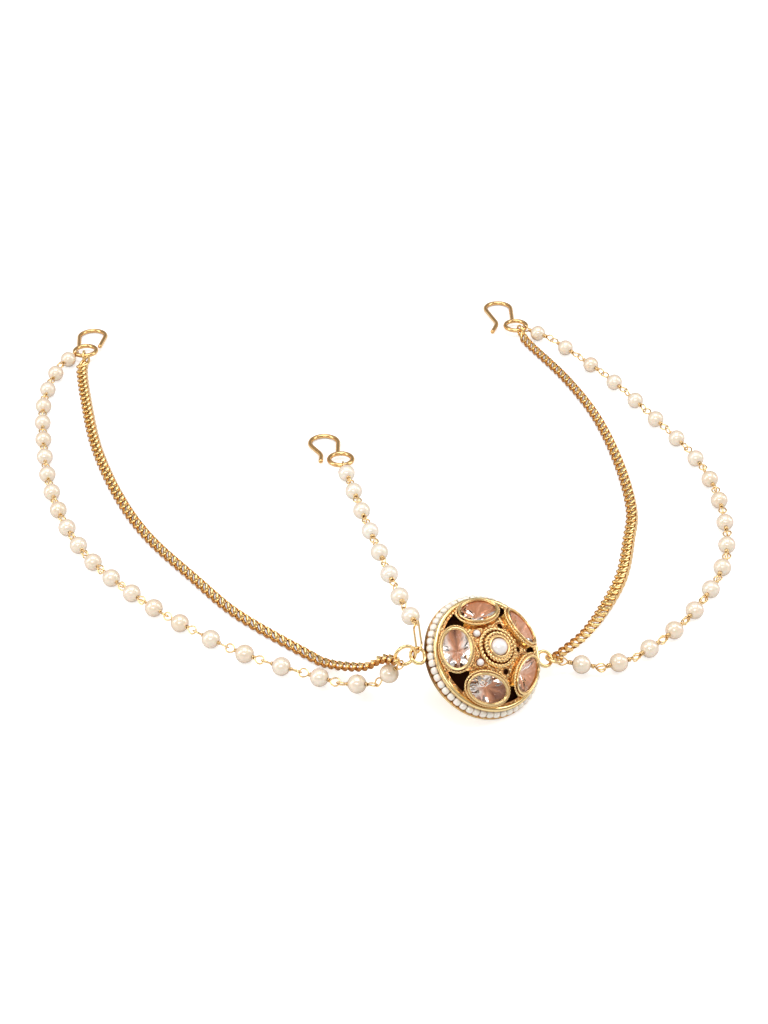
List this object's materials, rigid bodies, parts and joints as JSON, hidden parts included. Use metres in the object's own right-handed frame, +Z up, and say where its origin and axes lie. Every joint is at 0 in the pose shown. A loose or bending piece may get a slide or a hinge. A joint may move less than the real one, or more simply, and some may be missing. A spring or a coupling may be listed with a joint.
{
  "type": "matha_patti",
  "caption": "Matha patti head jewel: round domed pendant with oval stones and a seed-pearl rim, side strands of pearls and curb chain to two hooks, and a middle pearl string to a third hook",
  "frame": {"origin": "centre of the bounding box, on the surface it lies on", "axes": "+X to the wearer's left, +Y from the pendant to the hooks, +Z up from the surface"},
  "size_m": [0.2106, 0.2056, 0.0232],
  "materials": {
    "bright_gold": "polished gold plate, darker in the pierced work",
    "yellow_gold": "polished yellow gold plate",
    "pale_gold": "pale gold wire, polished",
    "aged_gold": "darker gold plate, polished",
    "pearl": "cream imitation pearl with a soft sheen",
    "seed_pearl": "off-white seed pearls",
    "crystal": "peach-brown cut glass over foil"
  },
  "bodies": {
    "root": {"pendant_frame": "bright_gold", "centre_pearl": "pearl", "gap_pearl_1": "pearl", "gap_pearl_2": "pearl", "seed_pearl_ring": "seed_pearl", "jump_ring_left": "pale_gold", "jump_ring_right": "pale_gold", "middle_loop": "pale_gold", "curb_chain_left": "yellow_gold", "curb_chain_right": "yellow_gold", "chain_ring_left": "yellow_gold", "chain_ring_right": "yellow_gold", "pearls_left": "pearl", "pearls_middle": "pearl", "pearls_right": "pearl", "pins_left": "pale_gold", "pins_middle": "pale_gold", "pins_right": "pale_gold", "hook_left": "aged_gold", "hook_middle": "aged_gold", "hook_right": "aged_gold", "stone_1": "crystal", "stone_2": "crystal", "stone_3": "crystal", "stone_4": "crystal", "stone_5": "crystal"}
  },
  "joints": []
}
